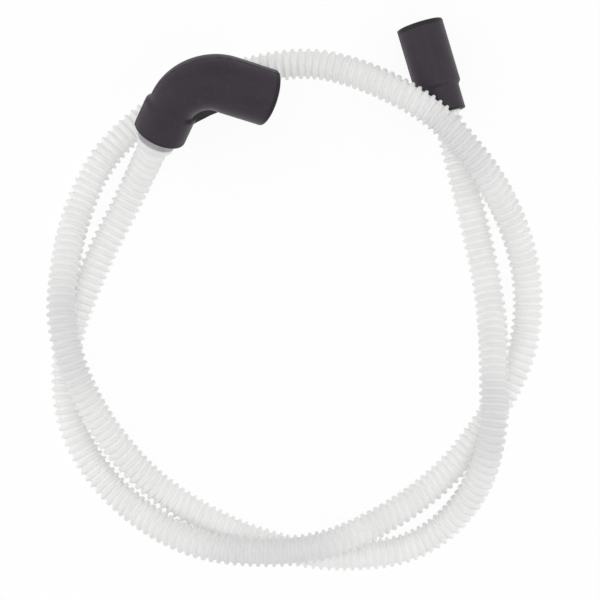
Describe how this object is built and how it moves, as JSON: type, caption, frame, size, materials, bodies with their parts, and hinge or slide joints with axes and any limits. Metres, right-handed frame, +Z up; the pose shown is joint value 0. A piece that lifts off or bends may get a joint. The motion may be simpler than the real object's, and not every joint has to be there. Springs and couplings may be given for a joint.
{
  "type": "dishwasher drain hose",
  "caption": "Corrugated plastic drain hose lying in a loose coil, with a wide-mouthed rubber elbow on one end and a straight reducing rubber connector on the other.",
  "frame": {"origin": "on the surface that the coil lies on, below the middle of the whole object's box", "axes": "+Z up from that surface, +Y towards the side where the connector points out of the coil, +X to the right seen from above"},
  "size_m": [0.3527, 0.3956, 0.0739],
  "materials": {
    "hose_plastic": "satin, milky translucent",
    "elbow_rubber": "satin, charcoal black",
    "connector_rubber": "satin, charcoal black"
  },
  "bodies": {
    "root": {"corrugated_hose": "hose_plastic", "rubber_elbow": "elbow_rubber", "straight_connector": "connector_rubber"}
  },
  "joints": []
}
